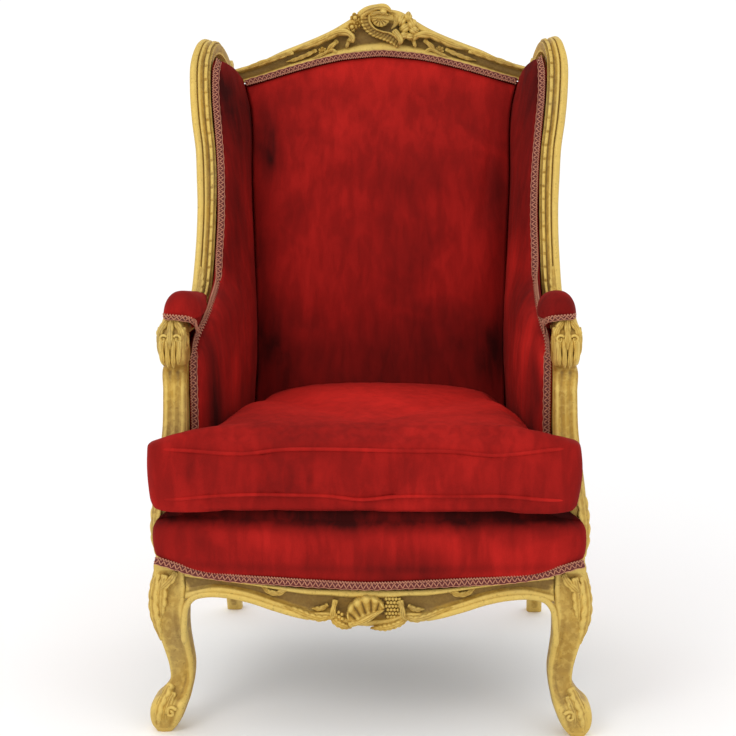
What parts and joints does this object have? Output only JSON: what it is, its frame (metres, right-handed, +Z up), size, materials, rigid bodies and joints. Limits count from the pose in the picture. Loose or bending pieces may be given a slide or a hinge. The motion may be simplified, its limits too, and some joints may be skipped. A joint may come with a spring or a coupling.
{
  "type": "throne",
  "caption": "Winged throne armchair: carved gilt frame on cabriole legs, padded back, wings and arms, loose seat cushion.",
  "frame": {"origin": "on the floor, under the middle of the overall box", "axes": "+Z up, the front of the chair faces -Y, +X is on the right of a viewer who faces the chair"},
  "size_m": [0.7268, 0.7378, 1.1971],
  "materials": {
    "gilt_wood": "water-gilded and rubbed carved wood, warm yellow gold, brown patina in the hollows",
    "red_velvet": "bright red cotton velvet, crushed pile with darker patches",
    "gimp_braid": "scrolled gimp braid in red and old gold thread",
    "dust_cloth": "plain black woven lining"
  },
  "bodies": {
    "root": {"front_rail": "gilt_wood", "back_rail": "gilt_wood", "crest_rail": "gilt_wood", "front_leg_left": "gilt_wood", "front_leg_right": "gilt_wood", "back_leg_left": "gilt_wood", "back_leg_right": "gilt_wood", "arm_frame_left": "gilt_wood", "arm_frame_right": "gilt_wood", "wing_frame_left": "gilt_wood", "wing_frame_right": "gilt_wood", "side_rail_left": "gilt_wood", "side_rail_right": "gilt_wood", "seat_deck": "red_velvet", "seat_cushion": "red_velvet", "inside_back": "red_velvet", "outside_back": "red_velvet", "inside_wing_left": "red_velvet", "inside_wing_right": "red_velvet", "outside_arm_left": "red_velvet", "outside_arm_right": "red_velvet", "outside_wing_left": "red_velvet", "outside_wing_right": "red_velvet", "arm_pad_left": "red_velvet", "arm_pad_right": "red_velvet", "braid_seat_front": "gimp_braid", "braid_crest": "gimp_braid", "braid_seat_side_left": "gimp_braid", "braid_seat_side_right": "gimp_braid", "braid_wing_left": "gimp_braid", "braid_wing_right": "gimp_braid", "dust_cover": "dust_cloth"}
  },
  "joints": []
}
